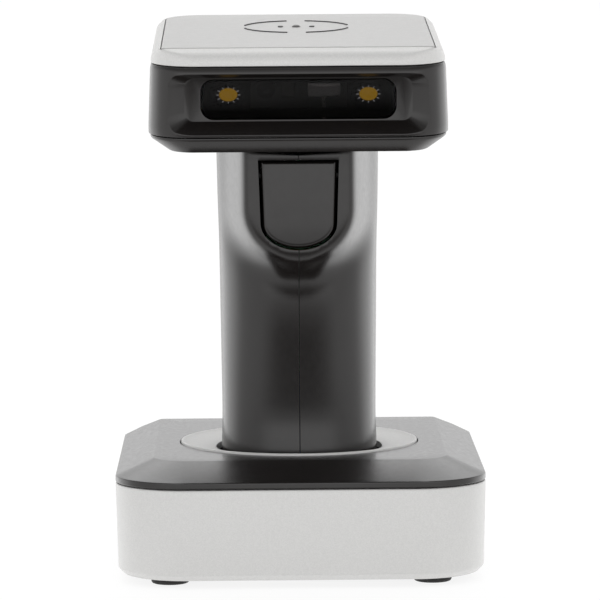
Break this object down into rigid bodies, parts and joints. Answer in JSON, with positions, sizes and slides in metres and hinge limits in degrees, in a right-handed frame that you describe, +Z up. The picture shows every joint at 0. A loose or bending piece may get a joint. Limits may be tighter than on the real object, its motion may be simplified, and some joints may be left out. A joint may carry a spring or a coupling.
{
  "type": "cordless barcode scanner with charging cradle",
  "caption": "Cordless pistol-grip barcode scanner with a flat pitched head, trigger and wide scan window, standing in a square charging cradle.",
  "frame": {"origin": "on the table under the middle of the cradle", "axes": "+Z up, +X to the right seen from the front, and -Y is the front, the way the scan window faces"},
  "size_m": [0.097, 0.107, 0.1461],
  "materials": {
    "black_plastic": "satin black moulded plastic",
    "silver_paint": "plastic with silver metallic paint",
    "grey_plastic": "matt grey moulded plastic",
    "rubber": "matt black rubber",
    "pale_seal": "soft pale translucent plastic",
    "window_glass": "clear polished window with a dark tint",
    "amber_lens": "polished amber plastic",
    "steel": "bright zinc-plated steel",
    "gold_contact": "gold-plated brass",
    "circuit_board": "green solder mask",
    "battery_wrap": "metal can in a blue plastic sleeve",
    "mirror": "front-silvered mirror"
  },
  "bodies": {
    "cradle": {"base_shell": "silver_paint", "base_cover": "black_plastic", "docking_ring": "silver_paint", "socket_well": "black_plastic", "base_bottom_plate": "grey_plastic", "ballast_left": "steel", "ballast_right": "steel", "base_board": "circuit_board", "contact_block": "grey_plastic", "cable_socket": "grey_plastic", "foot_front_left": "rubber", "foot_front_right": "rubber", "foot_rear_left": "rubber", "foot_rear_right": "rubber", "base_screw_1": "steel", "base_screw_2": "steel", "base_screw_3": "steel", "base_screw_4": "steel"},
    "contact_pin_left": {"contact_pin_left": "gold_contact"},
    "contact_pin_right": {"contact_pin_right": "gold_contact"},
    "scanner": {"battery_cell": "battery_wrap", "beeper": "grey_plastic", "charge_pad_left": "gold_contact", "charge_pad_right": "gold_contact", "engine_chassis": "grey_plastic", "handle_board": "circuit_board", "handle_end_cap": "black_plastic", "handle_left_shell": "black_plastic", "handle_right_shell": "black_plastic", "handle_screw_1": "steel", "handle_screw_2": "steel", "handle_screw_3": "steel", "head_body": "black_plastic", "head_lower_shell": "black_plastic", "head_screw_1": "steel", "head_screw_2": "steel", "head_screw_3": "steel", "head_screw_4": "steel", "head_top_cover": "silver_paint", "lamp_board_left": "circuit_board", "lamp_board_right": "circuit_board", "lamp_lens_left": "amber_lens", "lamp_lens_right": "amber_lens", "laser_module": "gold_contact", "light_detector": "grey_plastic", "main_board": "circuit_board", "mirror_drive_coil": "gold_contact", "mirror_post": "steel", "neck_gasket": "pale_seal", "ribbon_cable": "pale_seal", "status_light": "pale_seal", "switch_body": "grey_plastic", "top_panel": "silver_paint", "trigger_pin": "steel", "trigger_spring": "steel", "window_glass": "window_glass", "window_mask": "black_plastic"},
    "trigger": {"trigger": "black_plastic"},
    "switch_plunger": {"switch_plunger": "amber_lens"},
    "scan_mirror": {"scan_mirror": "mirror"}
  },
  "joints": [
    {"name": "scanner_lift", "type": "slide", "parent": "cradle", "child": "scanner", "axis": [0, 0, 1], "range_m": [0, 0.08]},
    {"name": "contact_left_press", "type": "slide", "parent": "cradle", "child": "contact_pin_left", "axis": [0, 0, 1], "range_m": [-0.001, 0], "stiffness_N_per_m": 300},
    {"name": "contact_right_press", "type": "slide", "parent": "cradle", "child": "contact_pin_right", "axis": [0, 0, 1], "range_m": [-0.001, 0], "stiffness_N_per_m": 300},
    {"name": "trigger_pull", "type": "hinge", "parent": "scanner", "child": "trigger", "pos_m": [0, -0.0312, 0.106], "axis": [1, 0, 0], "range_deg": [0, 5], "stiffness_Nm_per_rad": 0.2, "springref_deg": -1.72, "deforming": ["trigger_spring"]},
    {"name": "switch_press", "type": "slide", "parent": "scanner", "child": "switch_plunger", "axis": [0, 1, 0], "range_m": [0, 0.00118]},
    {"name": "mirror_sweep", "type": "hinge", "parent": "scanner", "child": "scan_mirror", "pos_m": [0.0067, -0.03828, 0.12864], "axis": [0, -0.0785, 0.9969], "range_deg": [-12, 12], "stiffness_Nm_per_rad": 0.00002}
  ],
  "couplings": [
    {"joint": "switch_press", "follows": "trigger_pull", "m_per_rad": 0.013}
  ]
}
